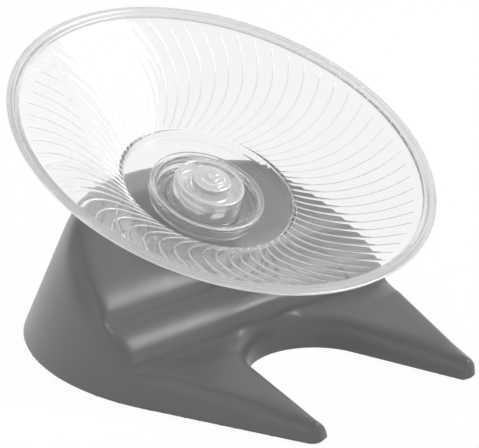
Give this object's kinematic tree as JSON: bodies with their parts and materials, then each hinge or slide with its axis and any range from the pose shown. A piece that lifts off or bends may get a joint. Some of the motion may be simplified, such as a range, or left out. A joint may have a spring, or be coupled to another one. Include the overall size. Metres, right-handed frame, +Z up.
{
  "type": "flying saucer exercise wheel for small pets",
  "caption": "Shallow clear dish with curved grip ribs that spins on a ball-bearing hub, tilted over a hollow moulded plastic stand with two front legs and an arched notch.",
  "frame": {"origin": "middle of the whole object's box, on the floor", "axes": "X across the object, +Y from the open legs to the back, +Z up"},
  "size_m": [0.18, 0.1896, 0.124],
  "materials": {
    "grey_plastic": "satin moulded plastic",
    "clear_plastic": "clear moulded plastic",
    "steel": "ground steel",
    "brass": "stamped brass"
  },
  "bodies": {
    "stand": {"stand_shell": "grey_plastic", "spindle": "steel", "thrust_washer": "brass", "bearing_inner_race": "steel", "retaining_washer": "steel", "retaining_screw": "steel"},
    "saucer": {"dish": "clear_plastic", "hub_housing": "clear_plastic", "hub_cap": "clear_plastic", "hub_retainer_ring": "clear_plastic", "bearing_outer_race": "steel", "bearing_shield_lower": "steel", "bearing_shield_upper": "steel"},
    "cage": {"bearing_cage": "brass", "bearing_ball_1": "steel", "bearing_ball_2": "steel", "bearing_ball_3": "steel", "bearing_ball_4": "steel", "bearing_ball_5": "steel", "bearing_ball_6": "steel", "bearing_ball_7": "steel"}
  },
  "joints": [
    {"name": "dish_spin", "type": "hinge", "parent": "stand", "child": "saucer", "pos_m": [0, 0.01905, 0.05166], "axis": [0, -0.422, 0.9066], "continuous": true},
    {"name": "cage_spin", "type": "hinge", "parent": "stand", "child": "cage", "pos_m": [0, 0.01905, 0.05166], "axis": [0, -0.422, 0.9066], "continuous": true}
  ],
  "couplings": [
    {"joint": "cage_spin", "follows": "dish_spin", "ratio": 0.632}
  ]
}
